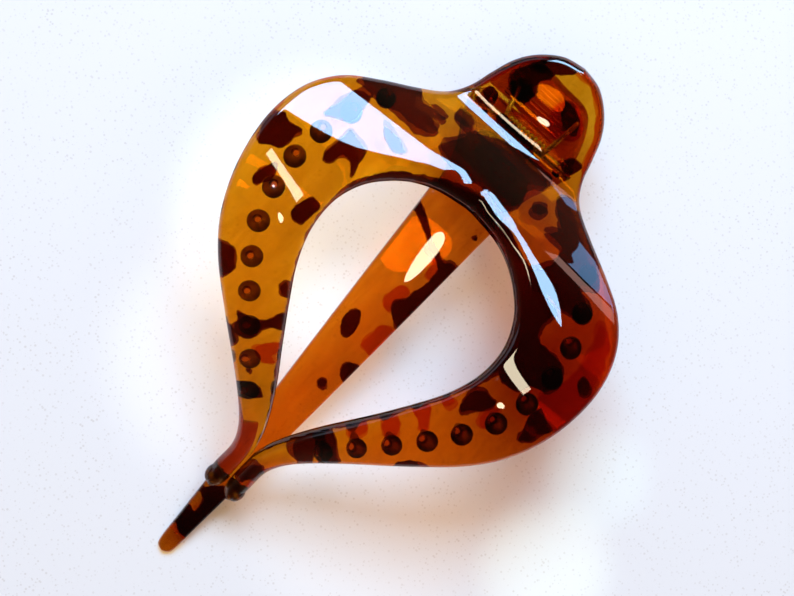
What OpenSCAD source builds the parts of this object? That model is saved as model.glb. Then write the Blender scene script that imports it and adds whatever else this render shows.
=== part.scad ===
// Large spring hair clip: an arched upper jaw with a teardrop opening and a thumb tab,
// a flat tongue below it with its own thumb tab, a steel pin and a torsion spring.
// The jaws are drawn in the clip's own frame: X runs from the hinge to the tip, Z is square to
// the tongue, and X = 0 is the pin. at_rest() then tips the whole onto its two resting lands.

/* [Upper jaw] */
// Thickness of the arched moulding at its crown
jaw_t = 3.4; // [2.8:0.1:4]
// Gap of the seam between the two arm ends
seam = 0.3; // [0.2:0.1:0.6]
// Radius of the foot under each arm end
foot_r = 2.1; // [1.8:0.1:2.3]
// Length of the longest peg
peg_l = 8; // [6:0.5:10]
// Radius of a peg at its free end
peg_end_r = 0.9; // [0.6:0.1:1.3]

/* [Lower jaw] */
// Thickness of the tongue
tongue_t = 2.3; // [1.8:0.1:2.8]
// Height of the grip ribs under the lower tab
rib_h = 0.4; // [0.2:0.1:0.6]

/* [Hinge] */
// Radius of the steel pin
pin_r = 0.9; // [0.7:0.1:1.1]
// Running clearance between the pin and its bores
pin_gap = 0.05; // [0.02:0.01:0.09]
// Radius of the round lugs
lug_r = 2.15; // [2:0.05:2.2]
// Thickness of a lug
lug_t = 1.7; // [1.4:0.1:1.9]
// Radius of the spring wire
wire_r = 0.5; // [0.4:0.05:0.55]
// Number of whole turns in the spring
turns = 9; // [5:1:10]

/* [Hidden] */
$fn = 64;

amber = "#b86a10";
steel = "#c9c6be";

// Half of the upper jaw's outline seen from above, from the arm's end to the tab's end
// Columns: x, y
outer_rows = [
    [98.3, 0.4], [99.5, 1.5], [99.8, 3.0], [98.6, 4.4], [95, 4.7], [90, 4.75], [86, 6.3], [82, 9.5],
    [76, 15.9], [68, 25.3], [60, 34.0], [52, 39.9], [42, 43.8], [31, 45.2], [22, 43.4],
    [15.5, 38.8], [11, 32.2], [7, 25.0], [3, 18.9], [-1, 16.0], [-6, 14.4], [-11, 12.5],
    [-15, 9.5], [-18.2, 5], [-19.3, 0]
];
// Half of the teardrop opening, from its sharp end to the hinge side
// Columns: x, y
opening_rows = [
    [88.5, 0], [84, 1.3], [79, 3.5], [73, 6.9], [65, 12.1], [57, 17.1], [50, 21.0], [43, 23.3],
    [36, 23.5], [30, 21.4], [25.5, 17.8], [22, 13.2], [19.8, 8], [18.6, 0]
];
// Side view of the upper jaw
// Columns: x, height of the top surface, thickness as a share of jaw_t
jaw_rows = [
    [-20, 3.85, 0.8], [-14, 2.8, 0.8], [-8, 2.1, 0.74], [-4, 1.87, 0.74], [-1.5, 1.94, 0.75],
    [0.5, 2.33, 0.78], [3, 3.66, 0.88], [6, 5.62, 0.97], [10, 8.3, 1.09], [14, 10.85, 1.23],
    [17, 12.5, 1.26], [20, 13.9, 1.2], [24, 15.5, 1.12], [30, 17.4, 1.05], [38, 19.05, 1],
    [46, 19.6, 1], [54, 19.2, 1], [62, 17.8, 1], [70, 15.6, 1.05], [78, 12.6, 1.05],
    [86, 9.0, 1.05], [93, 6.2, 1], [101, 4.2, 0.9]
];
// Side view of the lower jaw, from the tab's end to the tongue's tip
// Columns: x, height of the top surface
tongue_rows = [
    [-15.5, -15.3], [-10, -12.0], [-5, -9.0], [-1, -6.7], [3, -5.9], [8, -4.4], [14, -1.6],
    [20, 0.3], [28, 0.9], [45, 1.1], [65, 1.1], [85, 0.9], [100, 0.2], [110, -0.7], [119, -1.7]
];
// Half of the lower jaw's outline seen from above
// Columns: x, y
tongue_outline = [
    [118.6, 0], [117.9, 1.3], [116.3, 1.95], [110, 2.35], [100, 3.0], [90, 3.7], [72, 5.0],
    [45, 6.75], [20, 8.3], [12, 9.3], [6, 12.3], [1, 13.4], [-4, 12.9], [-9, 11.6], [-12.9, 9.4],
    [-14.4, 6.8], [-14.9, 3.5], [-15, 0]
];
// One arm's pegs, from the shoulder to the tip
// Columns: x, y, root radius
peg_rows = [
    [13.6, 28.4, 2.3], [20.2, 32.2, 2.45], [27.0, 34.6, 2.5], [34.2, 35.5, 2.5],
    [41.6, 34.8, 2.5], [48.8, 32.6, 2.5], [55.2, 28.8, 2.45], [61.0, 24.4, 2.4],
    [66.5, 19.6, 2.3], [71.9, 14.7, 2.25], [77.3, 10.2, 2.15]
];
spline_steps = 5;

// Pin axis, above the lower plate and under the upper one
pin_z = -3.3;
pin_half = 13.6;
inner_lug_y = 10.2;
outer_lug_y = inner_lug_y + lug_t + 0.3;
bore_r = pin_r + pin_gap;
lower_lug_foot_z = -7.9;

// Spring: the coil sits round the pin, and its legs bear on the two tabs
coil_r = pin_r + wire_r + 0.2;
pitch = 2 * wire_r + 0.12;
coil_y0 = -turns * pitch / 2;
leg_l = 10;
leg_angle = -3;
wire_sides = 8;
turn_steps = 20;

// Rest pose: the tab's end and the tongue's tip stand on the surface
rest_tilt = 5.96;
rest_lift = 15.1;
rest_shift = -49.363;

// A point on the smooth curve that runs through four neighbouring rows
function between(a, b, c, d, t) =
    0.5 * (2 * b + (c - a) * t + (2 * a - 5 * b + 4 * c - d) * t * t
    + (3 * b - a - 3 * c + d) * t * t * t);

// The smooth curve through all rows of a table
function curve(rows, n = spline_steps) = let (last = len(rows) - 1) concat(
    [for (i = [0:last - 1], k = [0:n - 1])
        between(rows[max(i - 1, 0)], rows[i], rows[i + 1], rows[min(i + 2, last)], k / n)],
    [rows[last]]);

function reversed(list) = [for (i = [len(list) - 1:-1:0]) list[i]];
function mirrored(list) = [for (p = list) [p[0], -p[1]]];

// A closed outline from its half on the +Y side
function both_halves(half) = concat(half, reversed(mirrored(half)));

// Height of the jaw's underside at the distance x from the pin
jaw_curve = curve(jaw_rows, 3);
function jaw_under(x) = lookup(x, [for (p = jaw_curve) [p[0], p[1] - p[2] * jaw_t]]);

module at_rest() {
    translate([rest_shift, 0, rest_lift]) rotate([0, rest_tilt, 0]) children();
}

// An outline in the XZ plane, extruded across the clip
module across(points, width) {
    rotate([90, 0, 0]) linear_extrude(height = width, center = true) polygon(points);
}

module bore() {
    translate([0, 0, pin_z]) rotate([90, 0, 0])
        cylinder(r = bore_r, h = 4 * pin_half, center = true);
}

// A lug with a round end about the pin, whose straight sides reach to the height reach_z
module lug(y, reach_z) {
    low = min(pin_z, reach_z);
    translate([0, y, pin_z]) rotate([90, 0, 0]) cylinder(r = lug_r, h = lug_t, center = true);
    translate([-lug_r, y - lug_t / 2, low]) cube([2 * lug_r, lug_t, abs(reach_z - pin_z)]);
}

// The arched plate: its side view cut to its outline seen from above
module arched_plate() {
    top = [for (p = jaw_curve) [p[0], p[1]]];
    under = [for (p = jaw_curve) [p[0], p[1] - p[2] * jaw_t]];
    intersection() {
        across(concat(top, reversed(under)), 100);
        translate([0, 0, -20]) linear_extrude(height = 60) difference() {
            polygon(both_halves(curve(outer_rows)));
            polygon(both_halves(curve(opening_rows)));
            translate([80, -seam / 2]) square([25, seam]);
        }
    }
}

// A tapered peg under the arm, which ends in a small flat
module peg(row) {
    root_z = jaw_under(row[0]) + 0.8;
    translate([row[0], row[1], root_z - peg_l])
        cylinder(r1 = peg_end_r, r2 = row[2], h = peg_l);
}

// The rounded foot that each arm's end lands on the tongue with
module foot() {
    translate([97.3, 3.1, 2.75]) sphere(r = foot_r);
}

module upper_jaw() {
    color(amber) at_rest() difference() {
        union() {
            arched_plate();
            for (side = [0, 1]) mirror([0, side, 0]) {
                for (row = peg_rows) peg(row);
                foot();
                lug(inner_lug_y, 0.6);
            }
        }
        bore();
    }
}

// The tongue and its tab: one bent plate of even thickness, with ribs under the tab
module bent_plate() {
    top = curve(tongue_rows, 4);
    under = [for (i = [0:len(top) - 1])
        let (a = top[max(i - 1, 0)], b = top[min(i + 1, len(top) - 1)], d = (b - a) / norm(b - a))
        [top[i][0] + d[1] * tongue_t, top[i][1] - d[0] * tongue_t]];
    intersection() {
        union() {
            across(concat(top, reversed(under)), 60);
            for (k = [0:4]) rib(k);
        }
        translate([0, 0, -40]) linear_extrude(height = 60)
            polygon(both_halves(curve(tongue_outline)));
    }
}

// A rounded rib across the underside of the lower tab
module rib(k) {
    x = -4.2 - 2 * k;
    z = lookup(x, curve(tongue_rows, 4));
    translate([x + 0.5 * tongue_t, 0, z - 0.86 * tongue_t - 0.2]) rotate([90, 0, 0])
        cylinder(r = rib_h + 0.2, h = 16, center = true);
}

module lower_jaw() {
    color(amber) difference() {
        at_rest() difference() {
            union() {
                bent_plate();
                for (side = [0, 1]) mirror([0, side, 0])
                    lug(outer_lug_y, lower_lug_foot_z);
            }
            bore();
        }
        translate([-100, -50, -20]) cube([200, 100, 20]);
    }
}

module hinge_pin() {
    color(steel) at_rest() translate([0, 0, pin_z]) rotate([90, 0, 0])
        cylinder(r = pin_r, h = 2 * pin_half, center = true);
}

// Rings of a round wire along a path. Each ring is square to the path's own direction.
function wire_ring(p, along, out) = let (side = cross(along, out))
    [for (k = [0:wire_sides - 1]) let (a = 360 * k / wire_sides)
        p + wire_r * (cos(a) * out + sin(a) * side)];

// A point of the coil and its outward direction at the angle a, in degrees from +X
function coil_out(a) = [cos(a), 0, sin(a)];
function coil_point(a, a0) = coil_r * coil_out(a) + [0, coil_y0 + pitch * (a - a0) / 360, pin_z];
function coil_along(a) = let (v = [-coil_r * sin(a), pitch / (2 * PI), coil_r * cos(a)]) v / norm(v);

// The rings of a coil from the angle a0 to a1
function coil_rings(a0, a1, zero) = let (n = ceil((a1 - a0) / 360 * turn_steps))
    [for (i = [0:n]) let (a = a0 + (a1 - a0) * i / n)
        wire_ring(coil_point(a, zero), coil_along(a), coil_out(a))];

// A straight leg after a ring of the coil
function leg_ring(a, zero, far) = let (d = coil_along(a))
    wire_ring(coil_point(a, zero) + far * d, d, coil_out(a));

// A closed wire through a list of rings
module wire(rings) {
    n = len(rings);
    s = wire_sides;
    polyhedron(
        points = [for (ring = rings, p = ring) p],
        faces = concat(
            [[for (k = [0:s - 1]) k]],
            [[for (k = [s - 1:-1:0]) (n - 1) * s + k]],
            [for (i = [0:n - 2], k = [0:s - 1]) let (j = (k + 1) % s)
                each [[i * s + k, (i + 1) * s + j, i * s + j],
                    [i * s + k, (i + 1) * s + k, (i + 1) * s + j]]]));
}

// The coil starts with the leg that lies on the lower tab. Angles turn from +X through +Z.
lower_leg_angle = -90 + 31;
coil_start = lower_leg_angle;
coil_stop = 360 * turns + 20;

module spring_coil() {
    color(steel) at_rest()
        wire(concat([leg_ring(coil_start, coil_start, -leg_l)],
            coil_rings(coil_start, coil_stop, coil_start)));
}

// The other end of the same wire, which turns with the upper jaw
module spring_leg() {
    stop = 360 * turns + 90 + leg_angle;
    color(steel) at_rest()
        wire(concat(coil_rings(coil_stop + 3, stop, coil_start),
            [leg_ring(stop, coil_start, leg_l)]));
}

upper_jaw();
lower_jaw();
hinge_pin();
spring_coil();
spring_leg();
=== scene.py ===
# %% [markdown]
# A tortoiseshell hair clip, step by step.
# The clip has two plastic jaws, a steel pin and a spring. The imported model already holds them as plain
# solids. This lesson keeps their places and sizes, and gives each jaw the soft edges and the depth of colour
# of a moulded, polished, see-through plastic.

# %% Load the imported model
from math import atan, cos, pi, radians, sin, tan

import bmesh
import bpy
import numpy as np
from mathutils import Matrix, Vector


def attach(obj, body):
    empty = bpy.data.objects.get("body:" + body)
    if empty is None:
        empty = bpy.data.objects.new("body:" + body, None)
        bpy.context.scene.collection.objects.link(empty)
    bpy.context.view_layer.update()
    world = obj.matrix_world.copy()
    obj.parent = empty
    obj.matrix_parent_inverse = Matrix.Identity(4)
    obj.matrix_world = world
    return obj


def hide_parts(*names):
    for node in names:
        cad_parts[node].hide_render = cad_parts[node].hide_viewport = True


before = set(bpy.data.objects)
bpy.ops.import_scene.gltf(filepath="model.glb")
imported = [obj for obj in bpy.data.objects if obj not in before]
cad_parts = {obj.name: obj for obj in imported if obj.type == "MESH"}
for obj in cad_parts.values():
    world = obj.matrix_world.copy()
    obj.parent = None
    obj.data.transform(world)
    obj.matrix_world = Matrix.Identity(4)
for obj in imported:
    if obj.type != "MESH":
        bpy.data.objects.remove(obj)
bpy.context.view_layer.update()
scene = bpy.context.scene

# %% [markdown]
# The jaws are drawn in the clip's own frame, in millimetres. There X runs from the pin to the tip, and Z is
# square to the tongue. The clip lies a few degrees nose-down on its tab and its tip, so one turn and one
# shift take every point to its place on the surface.

# %% The clip's own frame
MM = 0.001
REST_TILT = radians(5.96)
# Where the zero of the clip's own frame lies at rest, along X and above the surface
REST_SHIFT = -49.363
REST_LIFT = 15.1


def turned(v):
    """Directions of the clip's own frame, turned nose-down about Y by the rest angle."""
    v = np.asarray(v, float)
    c, s = cos(REST_TILT), sin(REST_TILT)
    return np.stack([v[..., 0] * c + v[..., 2] * s, v[..., 1], v[..., 2] * c - v[..., 0] * s], -1)


def at_rest(p):
    """Points in millimetres of the clip's own frame, turned, shifted and scaled to metres on the surface."""
    return (turned(p) + (REST_SHIFT, 0, REST_LIFT)) * MM


def own_frame(p):
    """The reverse of at_rest, from metres on the surface to millimetres."""
    q = np.asarray(p, float) / MM - (REST_SHIFT, 0, REST_LIFT)
    c, s = cos(REST_TILT), sin(REST_TILT)
    return np.stack([q[..., 0] * c - q[..., 2] * s, q[..., 1], q[..., 2] * c + q[..., 0] * s], -1)


print("zero of the clip's own frame, in metres at rest:", at_rest((0, 0, 0)))

# %% [markdown]
# Every outline is a short table of points with a smooth curve through them. A Catmull-Rom curve passes
# through its points, so the tables can be read off the real object. Walking along it at an even pace gives
# as many points as a mesh needs.

# %% Smooth curves through tables
# Stands in for zero in a division
TINY = 1e-12


def curve(rows, n=24):
    """Catmull-Rom curve: each span is a cubic whose end slopes are half the step between the neighbours."""
    p = np.asarray(rows, float)
    a = np.vstack([p[:1], p[:-1]])[:-1]
    b, c = p[:-1], p[1:]
    d = np.vstack([p[1:], p[-1:]])[1:]
    t = (np.arange(n) / n)[None, :, None]
    a, b, c, d = (q[:, None, :] for q in (a, b, c, d))
    spans = 0.5 * (2 * b + (c - a) * t + (2 * a - 5 * b + 4 * c - d) * t**2 + (3 * b - a - 3 * c + d) * t**3)
    return np.vstack([spans.reshape(-1, p.shape[1]), p[-1:]])


def lengths(p):
    """Distance walked along a line of points."""
    return np.concatenate([[0], np.cumsum(np.linalg.norm(np.diff(p, axis=0), axis=1))])


def walked(p, at):
    """Points at the given distances along a line of points."""
    s = lengths(p)
    return np.stack([np.interp(at, s, p[:, k]) for k in range(p.shape[1])], -1)


def nearest_length(p, q):
    """How far along the line p its nearest point to q lies."""
    return lengths(p)[np.argmin(np.linalg.norm(p - np.asarray(q, float), axis=1))]


def distance_to(line, q, at_once=4000):
    """Shortest distance from each point of q to a line of short straight pieces."""
    a, b = line[:-1], line[1:]
    d = b - a
    flat = q.reshape(-1, 2)
    best = np.empty(len(flat))
    length2 = np.maximum((d**2).sum(1), TINY)
    for block in np.array_split(np.arange(len(flat)), max(1, len(flat) // at_once)):
        r = flat[block, None, :] - a[None]
        t = np.clip((r * d[None]).sum(2) / length2, 0, 1)
        best[block] = np.sqrt((((r - t[..., None] * d[None]) ** 2).sum(2)).min(1))
    return best.reshape(q.shape[:-1])


def smooth_step(v, low, high):
    """Zero below low, one above high, and a cubic with level ends between."""
    w = np.clip((v - low) / (high - low), 0, 1)
    return w * w * (3 - 2 * w)


# %% [markdown]
# A mesh is filled from whole arrays. A grid of points becomes quads, and a grid that closes on itself is a
# tube or a ring. Points that fall together, such as where a slice shrinks to nothing, are merged.

# %% From arrays to meshes
def placed(name, data):
    """A new object of the scene that holds a mesh, a light or a camera."""
    obj = bpy.data.objects.new(name, data)
    scene.collection.objects.link(obj)
    return obj


def grid_faces(rows, cols, closed_rows=False, closed_cols=False):
    """Quads of a grid of points numbered row by row."""
    i = np.arange(rows if closed_rows else rows - 1)
    j = np.arange(cols if closed_cols else cols - 1)
    i, j = np.meshgrid(i, j, indexing="ij")
    i2, j2 = (i + 1) % rows, (j + 1) % cols
    return np.stack([i * cols + j, i * cols + j2, i2 * cols + j2, i2 * cols + j], -1).reshape(-1, 4)


def mesh_object(name, points, faces, merge=1e-3):
    """An object from points in the clip's own frame. Points closer than merge millimetres become one."""
    points = np.asarray(points, float).reshape(-1, 3)
    key = np.round(points / merge).astype(np.int64)
    _, first, same = np.unique(key, axis=0, return_index=True, return_inverse=True)
    same = same.reshape(-1)
    clean = []
    for f in faces:
        f = same[np.asarray(f)]
        f = f[f != np.roll(f, 1)]
        if len(f) >= 3 and len(set(f.tolist())) == len(f):
            clean.append(f.tolist())
    mesh = bpy.data.meshes.new(name)
    mesh.from_pydata(at_rest(points[first]).tolist(), [], clean)
    mesh.validate()
    mesh.update()
    print("made", name, "with", len(mesh.polygons), "faces")
    return placed(name, mesh)


def outward(obj):
    """Turns every face of a closed mesh outwards."""
    bm = bmesh.new()
    bm.from_mesh(obj.data)
    bmesh.ops.recalc_face_normals(bm, faces=bm.faces)
    bm.to_mesh(obj.data)
    bm.free()


# %% Uniting and smoothing meshes
# Points closer than this, in metres, are one point
WELD = 3e-6


def united(name, base, other):
    """One closed mesh from two that overlap, so that no wall is left inside the see-through plastic."""
    mod = base.modifiers.new("union", "BOOLEAN")
    mod.operation = "UNION"
    mod.solver = "EXACT"
    mod.object = other
    shape = base.evaluated_get(bpy.context.evaluated_depsgraph_get())
    mesh = bpy.data.meshes.new_from_object(shape)
    mesh.name = name
    bm = bmesh.new()
    bm.from_mesh(mesh)
    bmesh.ops.remove_doubles(bm, verts=bm.verts, dist=WELD)
    bmesh.ops.dissolve_degenerate(bm, dist=WELD, edges=bm.edges)
    bm.to_mesh(mesh)
    bm.free()
    for used in (base, other):
        bpy.data.objects.remove(used)
    print("united", name, "with", len(mesh.polygons), "faces")
    return placed(name, mesh)


def polished(obj, crease=38):
    """Smooth shading that stays crisp where two faces meet at more than the crease angle."""
    obj.data.shade_smooth()
    obj.data.set_sharp_from_angle(angle=radians(crease))


# %% [markdown]
# The upper jaw is one arched plate with a teardrop opening. Seen from above it is two mirror-image halves, so
# one half is drawn and the other mirrored. The half is cut into slices from its inner line to its outer one.
# Each slice runs over the top, round the outer edge, back underneath and up the inner wall.

# %% Tables of the upper jaw
# Half of the outline seen from above, from the tab's end to the arm's end
OUTER = [
    (-19.3, 0), (-18.2, 5), (-15, 9.5), (-11, 12.5), (-6, 14.4), (-1, 16), (3, 18.9), (7, 25),
    (11, 32.2), (15.5, 38.8), (22, 43.4), (31, 45.2), (42, 43.8), (52, 39.9), (60, 34), (68, 25.3),
    (76, 15.9), (82, 9.5), (86, 6.3), (90, 4.75), (95, 4.7), (98.3, 4.4), (99.5, 3.4), (99.8, 2.4),
]
# The opening's edge, from its hinge side to its sharp end
OPENING = [
    (18.6, 0), (18.65, 1.5), (19.8, 8), (22, 13.2), (25.5, 17.8), (30, 21.4), (36, 23.5), (43, 23.3),
    (50, 21), (57, 17.1), (65, 12.1), (73, 6.9), (79, 3.5), (84, 1.3), (88.5, 0.15),
]
# The seam between the arms' ends, round to the very end
SEAM = [(88.5, 0.15), (94, 0.15), (97.5, 0.3), (99.2, 1.2), (99.8, 2.4)]
# Side view: x, height of the crown, thickness there
ARCH = [
    (-22, 4.1, 2.75), (-19.3, 3.7, 2.75), (-14, 2.8, 2.7), (-8, 2.1, 2.5), (-5, 1.88, 2.5), (-3.5, 1.85, 2.5),
    (-2, 1.85, 2.5), (-0.8, 1.87, 2.5), (0.8, 1.98, 2.55), (2.3, 2.3, 2.65), (3.6, 2.9, 2.8),
    (4.8, 3.7, 2.95), (6, 4.65, 3.15), (7.4, 5.85, 3.35), (9.2, 7.35, 3.6), (12, 9.55, 3.9), (14, 10.97, 4.2),
    (16, 12.2, 4.3), (18, 13.27, 4.25), (20, 14.2, 4.15), (24, 15.7, 3.85), (28, 16.95, 3.6),
    (34, 18.35, 3.45), (40, 19.3, 3.4), (46, 19.65, 3.4), (54, 19.2, 3.4), (62, 17.8, 3.4), (70, 15.6, 3.55),
    (78, 12.6, 3.55), (86, 9, 3.55), (93, 6.2, 3.4), (101, 4.2, 3.1),
]
# Pairs of points that one slice joins, on the inner and on the outer line. Their numbers are the stations
SLICES = [
    ((-19.3, 0), (-19.3, 0)), ((-11, 0), (-11, 12.5)), ((3, 0), (3, 18.9)), ((18.6, 0), (11.5, 33)),
    ((22, 13.2), (18, 41.2)), ((30, 21.4), (31, 45.2)), ((43, 23.3), (46, 42.5)), ((57, 17.1), (65.5, 28.2)),
    ((73, 6.9), (79.5, 12)), ((84, 1.3), (87, 5.8)), ((88.5, 0.15), (90, 4.75)), ((94, 0.15), (95, 4.7)),
    ((99.8, 2.4), (99.8, 2.4)),
]
# The station where the opening starts, and those between which the crown moves out to the arm's middle
OPENING_STATION = 3
NECK_STATION, ARM_STATION = 2.5, 5

# %% Profile of the plate
ROWS_ACROSS = 66
WALL_ROWS = 4
# How many more slices the round end of a plate gets, and how far past half its thickness a round edge reaches
END_SLICES = 6
PAST_HALF = 0.2
arch_line = curve(ARCH)


def side_view(x, line):
    """Height, thickness and unit normal of a plate at each x of its side view."""
    along, height, depth = line.T
    top = np.interp(x, along, height)
    thick = np.interp(x, along, depth)
    h = 0.5
    rise = (np.interp(x + h, along, height) - np.interp(x - h, along, height)) / (2 * h)
    slope = np.arctan(rise)
    return top, thick, np.stack([-np.sin(slope), np.zeros_like(slope), np.cos(slope)], -1)


def rounding(d, r):
    """How far a round edge of radius r has dropped at the distance d from the edge's outermost line."""
    d = np.clip(d, 0, r)
    return r - np.sqrt(np.maximum(r * r - (r - d) ** 2, 0))


def eased_along(top, split, times=4):
    """Evens out a surface from slice to slice, by a quarter, half and quarter mean, done a few times.

    The rims stay: the outer one, and the inner one from the slice number split on.
    """
    rim = top[split - 1 :, 0].copy()
    for _ in range(times):
        top[1:-1, :-1] = 0.25 * top[:-2, :-1] + 0.5 * top[1:-1, :-1] + 0.25 * top[2:, :-1]
        top[split - 1 :, 0] = rim
    return top


# %% A plate from slices
def plate(name, inner, outer, edge, split, line, bulge, top_round, low_round, crown, bevel=None):
    """A half plate between two lines, made of slices, then mirrored.

    inner and outer are lines of points seen from above, slice by slice. A point's height is the side view's,
    less a drop that follows the crown and the bevel, and less the rounding, which depends on the true
    distance to the outline's edge. The rows across a slice lie closer together near both rims.
    The slices before the number split end on the middle plane, and the later ones close with an inner wall.
    """
    n = len(inner)
    t = 0.5 * (1 - np.cos(pi * np.arange(ROWS_ACROSS + 1) / ROWS_ACROSS))
    plan = inner[:, None, :] * (1 - t)[None, :, None] + outer[:, None, :] * t[None, :, None]
    d = distance_to(edge, plan)
    d[:, -1] = 0
    d[split:, 0] = 0
    top, thick, normal = side_view(plan[..., 0], line)
    drop = crown * (1 - bulge(np.arange(n) / (n - 1), t)) + (bevel(plan) if bevel else 0)
    half = thick / 2
    up = half - drop - rounding(d, np.minimum(top_round, half + PAST_HALF))
    down = half - rounding(d, low_round)
    middle = np.stack([plan[..., 0], plan[..., 1], top - half], -1)
    over = eased_along(middle + normal * up[..., None], split)
    under = middle - normal * down[..., None]
    k = (np.arange(1, WALL_ROWS) / WALL_ROWS)[None, :, None]
    outer_wall = over[:, -1:, :] * (1 - k) + under[:, -1:, :] * k
    inner_wall = under[:, :1, :] * (1 - k) + over[:, :1, :] * k
    ring = np.concatenate([over, outer_wall, under[:, ::-1], inner_wall], axis=1)
    cols = ring.shape[1]
    open_cols = 2 * (ROWS_ACROSS + 1) + WALL_ROWS - 1
    faces = grid_faces(n, cols, closed_cols=True).reshape(n - 1, cols, 4)
    kept = np.concatenate([faces[:split, : open_cols - 1].reshape(-1, 4), faces[split:].reshape(-1, 4)])
    points = ring.reshape(-1, 3)
    both = np.concatenate([points, points * (1, -1, 1)])
    obj = mesh_object(name, both, [*kept, *(kept[:, ::-1] + len(points))])
    outward(obj)
    print(name, "has", n, "slices")
    return obj


# %% The arched plate
def paired_lines(inner, outer, pairs, step):
    """Two lines sampled together, in slices about one step apart, each with its station.

    The first and the last span get more slices, ever closer together towards the plate's round ends.
    """
    a = np.array([nearest_length(inner, p[0]) for p in pairs])
    b = np.array([nearest_length(outer, p[1]) for p in pairs])
    at = [0.0]
    last_span = len(pairs) - 2
    for i in range(len(pairs) - 1):
        span = max(a[i + 1] - a[i], b[i + 1] - b[i])
        count = max(2, round(span / step))
        at += (i + np.arange(1, count + 1) / count).tolist()
    at = np.array(at)
    first, last = at[at <= 1], at[at >= last_span]
    ease = 1 - np.cos(0.5 * pi * np.linspace(0, 1, 2 * len(first)))
    ease_end = last_span + np.sin(0.5 * pi * np.linspace(0, 1, 2 * len(last) + END_SLICES))
    at = np.concatenate([ease, at[(at > 1) & (at < last_span)], ease_end])
    i = np.arange(len(pairs))
    return walked(inner, np.interp(at, i, a)), walked(outer, np.interp(at, i, b)), at


def middle_line(from_x, to_x, n):
    """A straight line of n points on the middle plane, seen from above."""
    return np.stack([np.linspace(from_x, to_x, n), np.zeros(n)], -1)


# %% Lines and slices of the arched plate
outer_line = curve(OUTER)
opening_line = curve(OPENING)
seam_line = curve(SEAM)
neck_line = middle_line(OUTER[0][0], OPENING[0][0], 200)
inner_line = np.vstack([neck_line[:-1], opening_line[:-1], seam_line])
inner_side, outer_side, stations = paired_lines(inner_line, outer_line, SLICES, step=0.75)
split_at = int(np.argmax(stations >= OPENING_STATION))
jaw_edge = np.vstack([outer_line, seam_line[::-1], opening_line[::-1]])


def jaw_bulge(s, t):
    """One at the crown of a slice, zero at its edges.

    The neck's crown is on the middle plane, and an arm's is half way across it.
    """
    at = np.interp(s, np.linspace(0, 1, len(stations)), stations)
    w = smooth_step(at, NECK_STATION, ARM_STATION)[:, None]
    return (1 - w) * (1 - t[None] ** 2) + w * (1 - (2 * t[None] - 1) ** 2)


# %% Bevel, and the plate itself
# The bevel round the opening: its width on the arms, and what the hinge side adds
BEVEL_ARM = 0.6
BEVEL_HINGE = 2.5
BEVEL_SLOPE = tan(radians(16.5))
BEVEL_SOFT = 0.6


def opening_bevel(plan):
    """The top surface falls towards the opening at an even slope, from a ridge softened over BEVEL_SOFT."""
    width = BEVEL_ARM + BEVEL_HINGE * (1 - smooth_step(plan[..., 0], 24, 42))
    inside = width - distance_to(opening_line, plan)
    return BEVEL_SLOPE * 0.5 * (inside + np.sqrt(inside**2 + BEVEL_SOFT**2))


jaw_plate = plate("jaw_plate", inner_side, outer_side, jaw_edge, split_at, arch_line, jaw_bulge,
                  top_round=1.5, low_round=0.5, crown=0.8, bevel=opening_bevel)

# %% [markdown]
# The pegs, the feet and the lugs are simple turned or extruded shapes. In see-through plastic a wall between
# two pieces would show as a dark line, so they are united with the plate into one skin, as in the mould.

# %% Pegs, feet and lugs
# One arm's pegs: x, y, root radius
PEGS = [
    (13.6, 28.4, 2.3), (20.2, 32.2, 2.45), (27, 34.6, 2.5), (34.2, 35.5, 2.5), (41.6, 34.8, 2.5),
    (48.8, 32.6, 2.5), (55.2, 28.8, 2.45), (61, 24.4, 2.4), (66.5, 19.6, 2.3), (71.9, 14.7, 2.25),
    (77.3, 10.2, 2.15),
]
PEG_LENGTH = 8
PEG_SUNK = 0.8
PEG_END_R = 0.9
# The round end's height, and the width of its rings, as parts of PEG_END_R and of a true quarter circle
PEG_END_FLAT = 0.6
PEG_END_SLIM = 0.98
# The ball foot under each arm's end
FOOT_X, FOOT_Y, FOOT_Z = 97.2, 3.05, 2.85
FOOT_R = 2.05
FOOT_STRETCH = (1.15, 0.95, 1)
PIN_Z = -3.3
PIN_R = 0.9
BORE_R = 0.95
LUG_R = 2.15
LUG_T = 1.7
LUG_SOFT = 0.25
# The bore's mouth: how much wider it is, and how deep that reaches
MOUTH_WIDER = 1.1
MOUTH_DEPTH = 0.1
# A hundredth off the solid's place, so that the lug's faces meet no vertex of the plate exactly
LUG_Y = 10.21
LUG_ROOT = 0.4
# Part of a side by which turned rings are rotated, so that no vertex lies on another shape's plane
RING_TURN = 0.37


# %% Shapes of pegs, feet and lugs
def turned_solid(profile, centre, sides=48):
    """A solid of revolution about the vertical: each (radius, height) of the profile becomes a ring."""
    p = np.asarray(profile, float)
    a = 2 * pi * (np.arange(sides) + RING_TURN) / sides
    r, z = p[:, 0][:, None], p[:, 1][:, None]
    ring = np.stack([r * np.cos(a), r * np.sin(a), z + 0 * a], -1)
    return ring.reshape(-1, 3) + np.asarray(centre, float), grid_faces(len(p), sides, closed_cols=True)


def peg_profile(root_r):
    """A cone with a small round end: it narrows evenly, then turns in on a flattened quarter circle."""
    a = np.linspace(0, pi / 2, 8)
    tip = np.stack([PEG_END_R * np.sin(a) * PEG_END_SLIM, PEG_END_R * (1 - np.cos(a)) * PEG_END_FLAT], -1)
    side = np.linspace((PEG_END_R, PEG_END_FLAT * PEG_END_R), (root_r, PEG_LENGTH), 9)
    return np.vstack([tip[:-1], side, [(0, PEG_LENGTH)]])


def gathered(name, shapes):
    """Several (points, faces) shapes in one object."""
    points, faces, start = [], [], 0
    for p, f in shapes:
        points.append(p)
        faces += list(np.asarray(f) + start)
        start += len(p)
    obj = mesh_object(name, np.vstack(points), faces)
    outward(obj)
    return obj


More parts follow.
